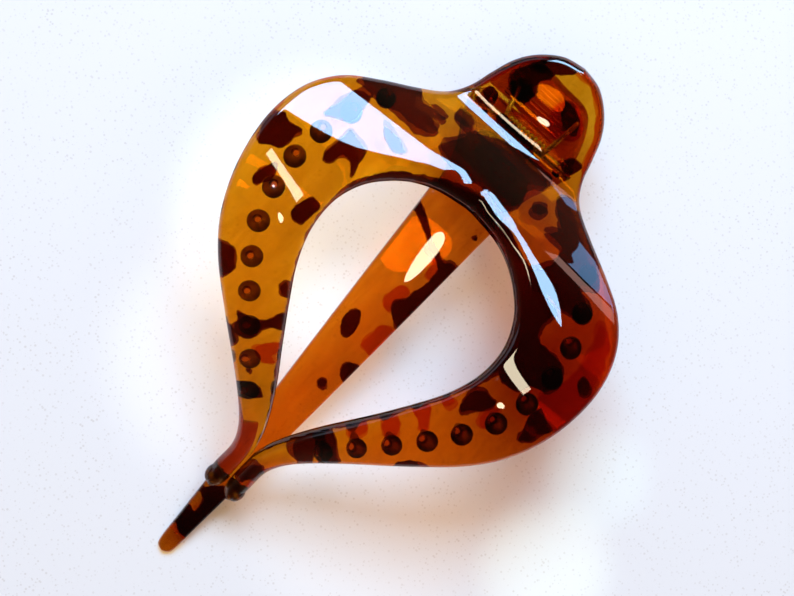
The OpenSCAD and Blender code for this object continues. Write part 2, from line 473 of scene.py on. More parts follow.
def underside(x):
    """Height of the arched plate's flat underside at x."""
    top, thick, _ = side_view(np.asarray(x, float), arch_line)
    return float(top - thick)


def peg_end(x):
    """Height of the lower end of a peg at x, its root sunk a little way into the plate."""
    return underside(x) + PEG_SUNK - PEG_LENGTH


def lug(y, root_z):
    """A lug with a bore: a round end about the pin and straight sides up or down to its root.

    It is extruded along Y with softened rims. The far half circle's points are spread over the flat root.
    """
    a = np.linspace(0, 2 * pi, 64, endpoint=False)
    outer = np.stack([LUG_R * np.cos(a), LUG_R * np.sin(a)], -1)
    away = 1 if root_z > PIN_Z else -1
    far = away * outer[:, 1] > 0
    spread = np.minimum(1, np.abs(np.tan(pi / 2 - a[far])) * 2)
    outer[far] = np.stack([LUG_R * np.sign(outer[far, 0]) * spread, np.full(far.sum(), root_z - PIN_Z)], -1)
    inner = BORE_R * np.stack([np.cos(a), np.sin(a)], -1)
    rim = outer * (1 - LUG_SOFT / LUG_R)
    mouth = inner * MOUTH_WIDER
    h = LUG_T / 2
    rings = [(outer, -h + LUG_SOFT), (outer, h - LUG_SOFT), (rim, h), (mouth, h),
             (inner, h - MOUTH_DEPTH), (inner, -h + MOUTH_DEPTH), (mouth, -h), (rim, -h)]
    points = np.stack([np.stack([q[:, 0], np.full(len(q), y + up), q[:, 1] + PIN_Z], -1) for q, up in rings])
    return points.reshape(-1, 3), grid_faces(len(rings), len(a), closed_rows=True, closed_cols=True)


def ball(centre, r, stretch=(1, 1, 1), sides=40):
    """A ball, stretched along its axes."""
    a = np.linspace(0, pi, sides // 2 + 1)
    p, f = turned_solid(np.stack([r * np.sin(a), -r * np.cos(a)], -1), (0, 0, 0), sides)
    return p * stretch + np.asarray(centre, float), f


# %% One skin for the upper jaw
jaw_bits = []
for side in (1, -1):
    for x, y, r in PEGS:
        jaw_bits.append(turned_solid(peg_profile(r), (x, side * y, peg_end(x))))
    jaw_bits.append(ball((FOOT_X, side * FOOT_Y, FOOT_Z), FOOT_R, FOOT_STRETCH))
    jaw_bits.append(lug(side * LUG_Y, LUG_ROOT))
upper_jaw = united("jaw_upper", jaw_plate, gathered("jaw_bits", jaw_bits))

# %% [markdown]
# The lower jaw is a long flat tongue that dips under the pin and ends in the lower thumb tab. Its side view
# is bent, so its thickness is measured square to that line.

# %% The lower jaw
# Side view: x, height of the top surface
TONGUE_SIDE = [
    (-17, -16.2), (-15.5, -15.3), (-10, -12), (-5, -9), (-1, -6.7), (3, -5.9), (8, -4.4), (13, -1.7),
    (16, 0), (18.5, 0.7), (22, 0.95), (28, 1.05), (45, 1.1), (65, 1.1), (85, 0.9), (100, 0.2), (110, -0.7),
    (120, -1.8),
]
TONGUE_T = 2.3
# Half of the outline seen from above, from the tab's end to the tip
TONGUE_OUTLINE = [
    (-15, 0), (-14.9, 3.5), (-14.4, 6.8), (-12.9, 9.4), (-9, 11.5), (-4, 12.7), (1, 13.4), (6, 12.3),
    (12, 9.3), (20, 8.3), (45, 6.75), (72, 5), (90, 3.7), (100, 3), (110, 2.35), (116.3, 1.95),
    (117.9, 1.3), (118.4, 0),
]
# The points of that outline to which a slice runs straight across from the middle plane
TONGUE_SLICES = [(-15, 0), (-9, 11.5), (6, 12.3), (20, 8.3), (72, 5), (110, 2.35), (118.4, 0)]

# %% The tongue's plate
tongue_line = curve([(x, z, TONGUE_T) for x, z in TONGUE_SIDE])
tongue_edge = curve(TONGUE_OUTLINE)
tongue_inner = middle_line(TONGUE_OUTLINE[0][0], TONGUE_OUTLINE[-1][0], 400)
tongue_in, tongue_out, _ = paired_lines(
    tongue_inner, tongue_edge, [((x, 0), (x, y)) for x, y in TONGUE_SLICES], step=1.0)


def flat_bulge(s, t):
    """A gentle crown, highest on the middle plane."""
    return np.repeat(1 - t[None] ** 2, len(s), 0)


tongue_plate = plate("tongue_plate", tongue_in, tongue_out, tongue_edge, len(tongue_in), tongue_line,
                     flat_bulge, top_round=0.7, low_round=0.35, crown=0.2)

# %% Grip ribs, and one skin for the lower jaw
# The grip ribs. RIB_DEPTH is how deep their axes lie in the plate, and RIB_BLUNT how square their ends are
RIBS = 5
RIB_R = 0.6
RIB_HALF = 8
RIB_DEPTH = 0.15
RIB_BLUNT = 8
RIB_X, RIB_SPACING = -4.2, 2
LOWER_LUG_Y = 12.2
LOWER_LUG_ROOT = -7.9


def rib(k, sides=16, steps=21):
    """A round bar across the underside of the lower tab, with blunt ends, about half sunk in the plate."""
    x = RIB_X - RIB_SPACING * k
    top, thick, normal = side_view(np.array(x), tongue_line)
    at = np.array([x, 0, float(top)]) - normal * (float(thick) - RIB_DEPTH)
    a = 2 * pi * np.arange(sides) / sides
    e = np.linspace(-1, 1, steps)
    y = RIB_HALF * np.sin(e * pi / 2)
    r = RIB_R * np.sqrt(np.clip(1 - np.abs(e) ** RIB_BLUNT, 0, 1))
    ring = np.stack([r[:, None] * np.cos(a), y[:, None] + 0 * a, r[:, None] * np.sin(a)], -1)
    return ring.reshape(-1, 3) + at, grid_faces(steps, sides, closed_cols=True)


def vertices(obj):
    """The vertices of a piece as an array of points in metres."""
    co = np.empty(len(obj.data.vertices) * 3)
    obj.data.vertices.foreach_get("co", co)
    return co.reshape(-1, 3)


def settled(obj):
    """Presses whatever would reach below the surface flat onto it, as the feet of the solid are cut."""
    co = vertices(obj)
    co[:, 2] = np.maximum(co[:, 2], 0)
    obj.data.vertices.foreach_set("co", co.ravel())
    obj.data.update()


tongue_bits = [rib(k) for k in range(RIBS)]
tongue_bits += [lug(side * LOWER_LUG_Y, LOWER_LUG_ROOT) for side in (1, -1)]
lower_jaw = united("jaw_lower", tongue_plate, gathered("tongue_bits", tongue_bits))
settled(lower_jaw)

# %% [markdown]
# The pin is a straight steel rod with softly rounded ends. The spring is one wire: a close coil round the pin
# with two straight legs. Its halves turn against each other when the tabs are squeezed, so it is two pieces.

# %% Pin and spring
PIN_HALF = 13.6
WIRE_R = 0.5
COIL_PLAY = 0.2
COIL_GAP = 0.12
COIL_R = PIN_R + WIRE_R + COIL_PLAY
TURNS = 9
PITCH = 2 * WIRE_R + COIL_GAP
COIL_Y0 = -TURNS * PITCH / 2
LEG = 10
# Angles about the pin, in degrees, where the coil starts and stops, and where the wire's upper half does
START = -59
STOP = 360 * TURNS + 20
LEG_START = STOP + 18
LEG_STOP = 360 * TURNS + 87
WIRE_STEP = 9


# %% Shapes of pin and wire
def pin_shape():
    """A rod along Y. Its ends turn in on a quarter circle of a third of its radius."""
    e = PIN_R / 3
    a = np.linspace(0, pi / 2, 6)
    end = np.stack([PIN_R - e + e * np.cos(a), PIN_HALF - e + e * np.sin(a)], -1)
    half = np.vstack([end, [(0, PIN_HALF)]])
    profile = np.vstack([half[::-1] * (1, -1), half])
    p, f = turned_solid(profile, (0, 0, 0), 40)
    return np.stack([p[:, 0], p[:, 2], p[:, 1] + PIN_Z], -1), f


def wire_path(start, stop, leg_first):
    """A helix round the pin, with a straight leg along its tangent at its first or its last end."""
    a = np.radians(np.arange(start, stop + 0.1, WIRE_STEP))
    y = COIL_Y0 + PITCH * (np.degrees(a) - START) / 360
    p = np.stack([COIL_R * np.cos(a), y, PIN_Z + COIL_R * np.sin(a)], -1)
    along = np.stack([-np.sin(a), 0 * a + PITCH / (2 * pi * COIL_R), np.cos(a)], -1)
    far = np.linspace(1, 0, 9)[:-1, None] * LEG
    if leg_first:
        return np.vstack([p[0] - far * along[0], p])
    return np.vstack([p, p[-1] + far[::-1] * along[-1]])


def wire(path, sides=16, cap=4):
    """A round wire along a path: rings square to the path, closed by round caps of shrinking rings."""
    ahead = np.gradient(path, axis=0)
    ahead /= np.linalg.norm(ahead, axis=1)[:, None]
    out = np.cross((0, 1, 0), ahead)
    out /= np.linalg.norm(out, axis=1)[:, None]
    side = np.cross(ahead, out)
    a = 2 * pi * np.arange(sides) / sides
    e = np.linspace(0, pi / 2, cap + 1)
    head = path[0] - ahead[0] * (WIRE_R * np.cos(e[:-1]))[:, None]
    tail = path[-1] + ahead[-1] * (WIRE_R * np.sin(e[1:]))[:, None]
    centre = np.vstack([head, path, tail])
    r = np.concatenate([WIRE_R * np.sin(e[:-1]), np.full(len(path), WIRE_R), WIRE_R * np.cos(e[1:])])
    out, side = (np.vstack([v[:1].repeat(cap, 0), v, v[-1:].repeat(cap, 0)]) for v in (out, side))
    ring = centre[:, None] + r[:, None, None] * (
        out[:, None] * np.cos(a)[None, :, None] + side[:, None] * np.sin(a)[None, :, None])
    return ring.reshape(-1, 3), grid_faces(len(centre), sides, closed_cols=True)


hinge_pin = gathered("pin_steel", [pin_shape()])
spring_coil = gathered("spring_lower", [wire(wire_path(START, STOP, leg_first=True))])
spring_leg = gathered("spring_upper", [wire(wire_path(LEG_START, LEG_STOP, leg_first=False))])

# %% [markdown]
# Tortoiseshell plastic is clear amber with dark red-brown flecks. The flecks are charted as outlines,
# and each vertex keeps its distance to the nearest one. The material cuts that distance at zero, so a fleck's
# edge stays crisp however coarse the mesh is.
# Some outlines, and the bands along the rims, are painted shade rather than flecks.

# %% Chart of the flecks
# Each fleck is an outline of points x, y in the clip's own frame. The right arm is at positive y
JAW_DARK = [
    [(28.9, -42.9), (29.5, -41.1), (29.3, -37.8), (31.7, -38.2), (34.5, -38.4), (35.8, -40.8), (37, -43.2),
     (34.8, -44), (33, -45), (30.9, -44.4)],
    [(43.2, -39), (41.1, -39.4), (39.3, -38.8), (37.4, -37.8), (38.5, -36.6), (40.4, -36.3), (42.4, -37.2),
     (43.7, -37.7)],
    [(42.4, -29), (38.4, -27.8), (38.2, -25.3), (41.5, -25.2), (43.8, -25.6), (44, -27.5)],
    [(31, -30.9), (28.4, -31.5), (25.3, -30.9), (22.4, -30.5), (22.8, -28.1), (23.5, -25.3), (26.9, -24.6),
     (29.8, -24.1), (27.5, -26.3), (28.4, -28.3), (30.7, -29)],
    [(24.2, -36.4), (21.7, -36.6), (19, -35.8), (16.5, -34.6), (14.6, -32.9), (15.3, -31), (18.1, -30.9),
     (21.2, -31.6)],
    [(17.5, -25.8), (17.3, -23.3), (18, -20.5), (18.8, -18.2), (20.3, -20), (20.1, -22.4), (19.2, -24.4)],
    [(13.9, -35.6), (10.6, -32.6), (8.2, -27.9), (6.5, -23.9), (8.3, -22.2), (8.7, -19.9), (9.9, -17.8),
     (11.1, -15.8), (13, -16.8), (14.3, -19.6), (14.3, -22.9), (14.7, -26.5), (14.6, -30.4), (14.4, -33.4)],
    [(8.4, -19.9), (7.8, -17.8), (8, -15.5), (9.7, -16), (9.7, -18.3)],
    [(7, -14.6), (4.4, -14.4), (4.2, -10.9), (5.8, -10.2), (7.2, -10.7), (7.4, -12.8)],
    # Painted shade, not a fleck: the dark neck over the hinge, where the lower jaw and the lugs lie beneath
    [(13.5, -13.9), (11.6, -13.4), (9, -11), (6.7, -9.5), (4.2, -5.8), (3.2, 0), (2.5, 8), (2.8, 10.2),
     (5.1, 10), (7.8, 7.3), (10.2, 7.5), (13.5, 6.6), (14.8, 4.9), (14.1, 2), (13.7, -0.5), (14.4, -3.9),
     (15.2, -7.2), (14.8, -11.1)],
    [(12.9, 14.7), (10.8, 16.5), (9.5, 19.8), (10.3, 22.7), (12, 26.1), (13.7, 30.2), (15.8, 30),
     (16.7, 28.8), (17.5, 31.4), (18.8, 33.5), (21.5, 32.7), (22.3, 29.4), (22.5, 26.7), (21.7, 23.3),
     (21.3, 19.6), (20.4, 16.9), (18, 19), (15.7, 20.6), (13.5, 20.3), (12.9, 18.4), (13.2, 16.1)],
    [(19.6, 15.7), (20.8, 18.9), (22.1, 23.8), (23.3, 27.7), (27.1, 26.8), (29.6, 28.2), (30.2, 31.3),
     (30.8, 35.2), (33.9, 37.2), (36.9, 36.4), (37.9, 33.9), (38.5, 32.1), (40.9, 31.2), (41.6, 28.7),
     (40.8, 26.1), (38.3, 25.2), (35.5, 25.7), (32.5, 24.5), (28.8, 22), (26.3, 19.4), (23.3, 16.7)],
    [(50.4, 23.9), (48.3, 23.7), (46, 24.7), (44.8, 25.9), (45.1, 27.8), (45.3, 29.7), (47.9, 29),
     (50, 27.2), (52.1, 25.4)],
    [(40.2, 37.3), (41.7, 39.7), (42.2, 42.4), (45, 41.2), (47.3, 40.2), (48.5, 38.1), (45.9, 37.2),
     (43.2, 36.6)],
    [(29.5, 40.3), (29.7, 42.1), (31.1, 43.3), (32.7, 43.3), (32.9, 41.7), (31.9, 40.3), (30.4, 39.9)],
    [(71, 22.5), (68.2, 23), (65.5, 25.6), (65, 28.8), (67.3, 27.8), (70.9, 24.1)],
    [(81, 4.2), (78.7, 3.9), (75.8, 4.9), (75.2, 6.6), (78.1, 8.5), (80.6, 9.9), (82.5, 8), (82.3, 5.9)],
    [(75.2, 6.3), (72.4, 7.6), (72.7, 9.6), (74.6, 11.5), (76.4, 14), (78.9, 12), (78.1, 9.1)],
    [(93.9, 0.1), (91.7, 0.5), (88.5, 2.7), (90.1, 4.1), (92.8, 3.1), (94.5, 1.8)],
    [(57.5, -36.8), (56.4, -34.9), (56.3, -32.8), (57.4, -31), (59.2, -29.8), (60.9, -29.9), (62.6, -30.8),
     (62.3, -32.7)],
    [(54.5, -20.1), (55.6, -20.7), (56.8, -20.2), (57.5, -19.1), (56.9, -17.7)],
    [(65.9, -23.7), (65, -21), (64.1, -18.5), (62.3, -17.4), (60, -16.1), (62.7, -14), (63.9, -16),
     (65.2, -17.1), (67.1, -17), (68.7, -18.1), (69.3, -20), (68.7, -21.9), (67.1, -22.1)],
    [(69, -24.8), (69.4, -22.1), (70.6, -19.2), (72.5, -19.6), (71.5, -22.4)],
    [(74.4, -13.9), (73.2, -13.9), (73.3, -12.7), (74.6, -12.7)],
    [(77.9, -14), (75.9, -11.6), (75.6, -9.3), (76.6, -7.4), (78.4, -9.4), (78.7, -11.6)],
    [(-8.2, -11.3), (-10.6, -10.8), (-13.1, -9.2), (-14.7, -6.7), (-15.1, -4.4), (-12.8, -4.1), (-11, -5.5),
     (-9.2, -4.4), (-6.8, -4.6), (-4.7, -5), (-4.9, -7.4), (-5.9, -9.5)],
    [(-14.3, -8.5), (-16.6, -6.8), (-18, -4), (-18.2, -0.8), (-16.2, -1.8), (-14.5, -4.2)],
    [(10.9, 9.5), (9, 10.3), (8.1, 12.7), (10.3, 13), (11.8, 11)],
    [(6.2, 13.6), (3.4, 15), (5, 20.2), (8.8, 26.8), (13.5, 31.8), (15.7, 30.6), (15.6, 27.7), (13.4, 23.4),
     (11, 18.4)],
    # Painted shade, not flecks: a dark block over the spring's coil and dark squares over the two lugs
    [(1.4, -7.3), (-0.8, -6.7), (-0.6, -2.1), (0.3, 2.7), (2.4, 3), (2.4, -2)],
    [(-1.6, -13.1), (-3.7, -12.7), (-3.1, -10.2), (-0.7, -10.3)],
    [(-0.8, 9.8), (-3.8, 10.7), (-3.4, 13.5), (-0.5, 12.7)],
]
JAW_RED = [
    [(19, 36), (20.5, 39.9), (23.9, 42), (28.6, 43.5), (35, 44.4), (41, 43.9), (42.4, 41.2), (41, 38),
     (39, 35.4), (35.6, 36.4), (32.3, 37.9), (28.2, 38.4), (24.2, 37.7)],
    [(57.7, 17.1), (54.7, 19.5), (56.8, 21.4), (59.2, 22.6), (60.3, 21.4), (58.8, 19.5)],
    [(52, 20.3), (50.5, 21.5), (50.8, 23.4), (52.6, 22.9), (53, 21.5)],
    [(64.2, 14.4), (61.1, 16.3), (64, 18.9), (66.4, 17)],
    [(69.7, 10.5), (66.1, 12), (68, 13.9), (71.2, 12.4)],
    [(50.6, 28.8), (46.9, 28.9), (45.5, 31.2), (48.1, 31.7), (51.4, 31.2)],
    [(44.9, 24.4), (38.5, 24.3), (35.1, 25.3), (32.4, 24.7), (31.4, 22.7), (36.1, 24), (41.1, 24.4),
     (46.1, 23.7)],
    [(69.5, -16), (67.3, -14.9), (65.4, -12.5), (66.8, -11.5), (68.5, -12), (69.2, -10.6), (70.7, -12.8)],
    [(-6.2, 1.1), (-10.3, 0.8), (-12.3, 3), (-11.2, 6.3), (-8.4, 8.9), (-5.2, 7.2), (-4.2, 4.1)],
]
TONGUE_DARK = [
    [(53.8, -3.9), (51.7, -3.8), (50.6, -2.2), (51.5, -0.9), (53.4, -0.1), (55.2, 0.1), (57.1, -0.5),
     (56.9, -2.2)],
    [(66.8, 1.1), (66.5, 2.6), (67.5, 3.4), (68.9, 2.9), (69.2, 1.5), (68.2, 0.6)],
    [(62.7, 2.7), (60.8, 3.2), (59.9, 5.3), (59.8, 7.5), (64, 7.2), (64.3, 4.5)],
    [(45.8, 2.4), (44, 2.2), (42.3, 3.6), (39.6, 4.1), (36.5, 4.7), (32.9, 5), (30.5, 5.2), (30.4, 7.9),
     (36.1, 7.8), (42.1, 7.4), (48.5, 7.3), (47.8, 4.7)],
    [(26.2, -8.6), (24.7, -8.5), (25.9, -4.6), (28.5, -1.1), (30, 2.4), (31.6, 5.9), (34, 6.3), (32.1, 3.2),
     (30.4, -0.6), (28.1, -4.3)],
    [(22.4, 6.1), (22.4, 7), (23.3, 6.9), (23.3, 6)],
    [(99.1, 4.7), (105.3, 3.7), (110, 3.5), (112.9, 1.2), (111, -2.1), (106.9, -2.5), (106.7, -0.2),
     (103.8, -0.4), (102.5, -2.3), (100.1, -1.3), (98.8, 1)],
    [(-7, -7.9), (-8.7, -6.8), (-10.2, -5.1), (-10.7, -3.1), (-10.2, -2.1), (-7.4, -2.9), (-5.2, -3.5),
     (-5.3, -6)],
    [(-10.6, 3.7), (-12.5, 3.7), (-12.8, 5.6), (-11.2, 8), (-8.5, 9.5), (-7.2, 8.2), (-7.6, 6.1)],
    [(-14.3, -7.7), (-16.6, -5.7), (-18.5, -2.8), (-19.3, 0), (-17.1, 0.8), (-15, -2.3), (-13.2, -5.1)],
]
TONGUE_RED = [
    [(55.9, 2.7), (52.6, 2.9), (49.7, 3.8), (49.2, 7.1), (53.7, 7.3), (56.3, 6.2), (56.4, 4)],
    [(46, 0.3), (43.4, 0), (40.7, 1.1), (41.3, 3.8), (43.9, 2.7), (47, 3.1)],
    [(31.6, -0.7), (29.6, 0.9), (31.3, 4.2), (32.7, 7.1), (35.7, 6.3), (36.1, 3.2), (32.7, 2.6)],
]


# %% Distances to the flecks
def closed_curve(points, n=6):
    """A smooth closed line through a few points: the same cubic spans, going round."""
    p = np.array([points[-1], *points, *points[:2]], float)
    return curve(p, n)[n:-n]


def fleck_distance(p, outlines, far=4.0):
    """Signed distance, in millimetres, to the nearest outline: below zero inside it, and never above far.

    The sign comes from how often a line to the right meets the outline's sides.
    """
    out = np.full(len(p), far)
    for points in outlines:
        line = closed_curve(points)
        near = np.all((p > line.min(0) - far) & (p < line.max(0) + far), axis=1)
        q = p[near]
        if not len(q):
            continue
        d = distance_to(line, q)
        a, b = line[:-1], line[1:]
        between = (a[None, :, 1] > q[:, None, 1]) != (b[None, :, 1] > q[:, None, 1])
        rise = np.where(b[:, 1] == a[:, 1], TINY, b[:, 1] - a[:, 1])
        meets = (b[:, 0] - a[:, 0]) * (q[:, None, 1] - a[:, 1]) / rise + a[:, 0]
        inside = (between & (q[:, None, 0] < meets)).sum(1) % 2 == 1
        out[near] = np.minimum(out[near], np.where(inside, -d, d))
    return out


def own_points(obj):
    """The vertices of a piece in millimetres of the clip's own frame."""
    return own_frame(vertices(obj))


def keep(obj, name, values):
    """Stores one number per vertex of a piece under a name that its material reads."""
    attribute = obj.data.attributes.new(name, "FLOAT", "POINT")
    attribute.data.foreach_set("value", values.astype(np.float32))
    print(obj.name, "keeps", name, "from", round(values.min(), 2), "to", round(values.max(), 2))


def keep_flecks(obj, name, outlines, rim=np.inf):
    """Stores the fleck distance. A rim, the distance to an edge band of painted shade, counts as one more
    fleck.
    """
    keep(obj, name, np.minimum(fleck_distance(own_points(obj)[:, :2], outlines), rim))


# %% Painted shade: rims, right side and pegs
# Curve points left out where the opening's two sides meet, and at an arm's end
SHARP_END = 20
ARM_END = 30
# The deepest painted shade, on the right shoulder: its middle and its reach, in x and y
SHOULDER = (28, 38)
SHOULDER_REACH = (19, 14)
# How far off a peg's side and root the mesh still counts as peg, and the same round a foot
PEG_SKIN, PEG_ROOT = 0.06, 0.5
FOOT_SKIN_R, FOOT_SKIN_TOP = 2.6, 3.2
# The clear spot on each peg's end, which lets light through: its radius, height and place
SPOT_R, SPOT_TOP = 0.55, 0.56
SPOT_X, SPOT_INWARD = 0.15, 0.3


def opening_rim(p):
    """Distance to a band of painted shade along the opening, kept with the dark flecks.

    Light is lost in the opening's wall, where it runs down the whole depth of the plastic. The band is widest
    on the hinge side, where the plate is thickest and turns away from the eye, and reaches further along the
    right arm.
    """
    on_arms, at_hinge, more_on_right, fades_later = 0.55, 1.2, 1.3, 8
    more = more_on_right * smooth_step(p[:, 1], -14, 4)
    band = on_arms + (at_hinge + more) * (1 - smooth_step(p[:, 0] - fades_later * more, 24, 40))
    half = opening_line[:-SHARP_END]
    return distance_to(np.vstack([half, half[::-1] * (1, -1)]), p[:, :2]) - band


def outer_rim(p):
    """Distance to a red-brown line of painted shade along the outer edge, thin on the arms and a broad band
    on the tab.
    """
    on_arms, more_on_tab = 0.22, 1.6
    band = on_arms + more_on_tab * (1 - smooth_step(p[:, 0], -6, 3))
    half = outer_line[:-ARM_END]
    return distance_to(np.vstack([half[::-1] * (1, -1), half]), p[:, :2]) - band


def painted_right_shade(p):
    """Painted shade on the right side, from zero to one: the right arm lies in shade, so its amber is drawn
    darker and redder.

    It is nothing on the left arm and half on the right one. The rest is a soft oval on the right shoulder.
    """
    across = 0.5 * smooth_step(p[:, 1], 2, 20) * smooth_step(p[:, 0], 4, 14)
    away = np.abs(p[:, :2] - SHOULDER) / SHOULDER_REACH
    shoulder = 0.5 * np.exp(-(away**4).sum(1))
    return across + shoulder * (p[:, 1] > 0)


def keep_pegs(obj):
    """Stores one on the sides of the pegs and feet, where shade is painted, and zero elsewhere, also on a
    spot of each peg's end.
    """
    p = own_points(obj)
    value = np.zeros(len(p))
    for x, y, root_r in PEGS:
        for side in (1, -1):
            away = np.hypot(p[:, 0] - x, p[:, 1] - side * y)
            off_spot = np.hypot(p[:, 0] - x - SPOT_X, p[:, 1] - side * (y - SPOT_INWARD))
            up = p[:, 2] - peg_end(x)
            radius = np.interp(up, [PEG_END_FLAT * PEG_END_R, PEG_LENGTH], [PEG_END_R, root_r])
            on_peg = (away < radius + PEG_SKIN) & (up < PEG_LENGTH + PEG_ROOT)
            value[on_peg & ((off_spot > SPOT_R) | (up > SPOT_TOP))] = 1
    by_foot = np.hypot(p[:, 0] - FOOT_X, np.abs(p[:, 1]) - FOOT_Y) < FOOT_SKIN_R
    value[by_foot & (p[:, 2] < FOOT_SKIN_TOP)] = 1
    keep(obj, "peg", value)


keep_pegs(upper_jaw)
jaw_points = own_points(upper_jaw)
# The dark band along the opening and the red-brown line along the outer edge are painted shade, kept with the
# flecks
keep_flecks(upper_jaw, "dark", JAW_DARK, opening_rim(jaw_points))
keep_flecks(upper_jaw, "red", JAW_RED, outer_rim(jaw_points))
# The right side's painted shade, which draws the right arm darker and redder than the left
keep(upper_jaw, "painted_right_shade", painted_right_shade(jaw_points))
keep_flecks(lower_jaw, "dark", TONGUE_DARK)
keep_flecks(lower_jaw, "red", TONGUE_RED)


# %% [markdown]
# The plastic is cellulose acetate or acrylic, polished: clear, with an index of refraction near 1.49. Its
# skins are tinted by the flecks, and more amber is in its depth, so thick places turn red. That is a volume
# that soaks up blue and green light along the way.

# %% Materials
# A Mix node's sockets by number, as their names repeat: for colours, and for plain numbers
MIX_A, MIX_B, MIX_OUT = 6, 7, 2
MIX_LOW, MIX_HIGH = 2, 3
# Half the width of a fleck's edge, in millimetres
FLECK_EDGE = 0.12


def linear(hex_colour):
    """An sRGB hex colour as linear red, green, blue and alpha."""
    c = np.array([int(hex_colour[i : i + 2], 16) for i in (1, 3, 5)]) / 255
    c = np.where(c <= 0.04045, c / 12.92, ((c + 0.055) / 1.055) ** 2.4)
    return (*c.tolist(), 1.0)


def new_material(name):
    """An empty node material and its tree."""
    mat = bpy.data.materials.new(name)
    mat.use_nodes = True
    mat.node_tree.nodes.clear()
    return mat, mat.node_tree


def node(tree, kind, values=None, links=None, **settings):
    """Adds a shader node with its settings, its sockets' values and its links from (node, socket)."""
    n = tree.nodes.new("ShaderNode" + kind)
    for key, value in settings.items():
        setattr(n, key, value)
    for key, value in (values or {}).items():
        n.inputs[key].default_value = value
    for key, (source, socket) in (links or {}).items():
        tree.links.new(source.outputs[socket], n.inputs[key])
    return n


def ranged(t, source, low=0, high=1, to_low=0, to_high=1, **settings):
    """A link to a number that is carried from one range to another and held inside it."""
    values = {"From Min": low, "From Max": high, "To Min": to_low, "To Max": to_high}
    return node(t, "MapRange", values, {"Value": source}, **settings), 0


def mixed(t, factor, a, b, **settings):
    """A link to a mix of two colours, a at factor zero and b at one. Each of the three may be a link too."""
    given = {0: factor, MIX_A: a, MIX_B: b}
    links = {key: value for key, value in given.items() if isinstance(value, tuple) and len(value) == 2}
    values = {key: value for key, value in given.items() if key not in links}
    return node(t, "Mix", values, links, data_type="RGBA", **settings), MIX_OUT


def fleck_mask(t, name, warp):
    """Zero inside a fleck and one outside it, across an edge a quarter of a millimetre wide."""
    fleck = node(t, "Attribute", attribute_name=name)
    edge = node(t, "Math", None, {0: (fleck, "Fac"), 1: warp}, operation="ADD")
    return ranged(t, (edge, 0), -FLECK_EDGE, FLECK_EDGE, interpolation_type="SMOOTHSTEP")


# %% Tortoiseshell plastic
def tortoiseshell(name, amber, streak, density):
    """Polished tortoiseshell plastic: glass-clear amber with crisp dark flecks, and painted shade: dark
    bands, blocks and peg sides, and a red right side.

    amber and streak are the tones of its ground, and density says how fast its depth soaks up light.
    """
    mat, t = new_material(name)
    place = (node(t, "TexCoord"), "Object")
    # Waves about 4 mm long and up to 1 mm high make the flecks' edges uneven, like poured colour
    ripple = node(t, "TexNoise", {"Scale": 260, "Detail": 2}, {"Vector": place})
    off = node(t, "Math", {1: 0.5}, {0: (ripple, "Fac")}, operation="SUBTRACT")
    warp = (node(t, "Math", {1: 2.0}, {0: (off, 0)}, operation="MULTIPLY"), 0)
    # Faint flow marks from the mould, about 4 mm apart and drawn out along the clip
    flow = node(t, "Mapping", {"Scale": (60, 250, 250)}, {"Vector": place})
    marks = node(t, "TexNoise", {"Scale": 1, "Detail": 3, "Distortion": 1.2}, {"Vector": (flow, 0)})
    ground = mixed(t, ranged(t, (marks, "Fac"), 0.35, 0.65), linear(amber), linear(streak))
    # Red-brown areas and nearly black flecks lie over the amber, and with them the painted shade of the rims
    # and the hinge
    with_red = mixed(t, fleck_mask(t, "red", warp), linear("#ba4100"), ground)
    flecked = mixed(t, fleck_mask(t, "dark", warp), linear("#3d0500"), with_red)
    # Painted shade on the right side: its first half warms the amber, and its second half turns it a deep red
    right_shade_share = (node(t, "Attribute", attribute_name="painted_right_shade"), "Fac")
    light_painted_shade = mixed(t, ranged(t, right_shade_share, high=0.5), linear("#ffffff"), linear("#ffbf88"))
    deep_painted_shade = mixed(t, ranged(t, right_shade_share, low=0.5), light_painted_shade, linear("#d0501c"))
    blended = mixed(t, 1.0, flecked, deep_painted_shade, blend_type="MULTIPLY")
    # Painted shade: the pegs' and feet's sides are drawn nearly black, rougher and less clear, for the light
    # lost along them; only the clear spot on each peg's end lets light through
    on_peg = (node(t, "Attribute", attribute_name="peg"), "Fac")
    peg = ranged(t, on_peg, 0.8, 0.98)
    colour = mixed(t, peg, blended, linear("#120301"))
    plastic = node(t, "BsdfPrincipled", {"IOR": 1.49},
                   {"Base Color": colour, "Roughness": ranged(t, peg, to_low=0.01, to_high=0.3),
                    "Transmission Weight": ranged(t, peg, to_low=1, to_high=0.4)})
    # Light that crosses to the table loses colour once, not at each of the two skins, so its tint is paler
    pale = node(t, "Gamma", {"Gamma": 0.3}, {"Color": colour})
    clear = node(t, "BsdfTransparent", None, {"Color": (pale, 0)})
    path = node(t, "LightPath")
    both = node(t, "MixShader", None, {0: (path, "Is Shadow Ray"), 1: (plastic, 0), 2: (clear, 0)})
    # The depth keeps most of the red light, less of the green and none of the blue
    depth = node(t, "VolumeAbsorption", {"Color": (0.915, 0.74, 0.0, 1), "Density": density})
    node(t, "OutputMaterial", None, {"Surface": (both, 0), "Volume": (depth, 0)})
    return mat


# %% Drawn steel
def steel(name):
    """Bright drawn steel wire, with faint draw marks about a millimetre apart that break up its gleam."""
    mat, t = new_material(name)
    place = node(t, "TexCoord")
    marks = node(t, "TexNoise", {"Scale": 900, "Detail": 3}, {"Vector": (place, "Object")})
    rough = ranged(t, (marks, "Fac"), to_low=0.18, to_high=0.34)
    metal = node(t, "BsdfPrincipled", {"Metallic": 1.0, "Base Color": linear("#cdc8bc")},
                 {"Roughness": rough})
    node(t, "OutputMaterial", None, {"Surface": (metal, 0)})
    return mat


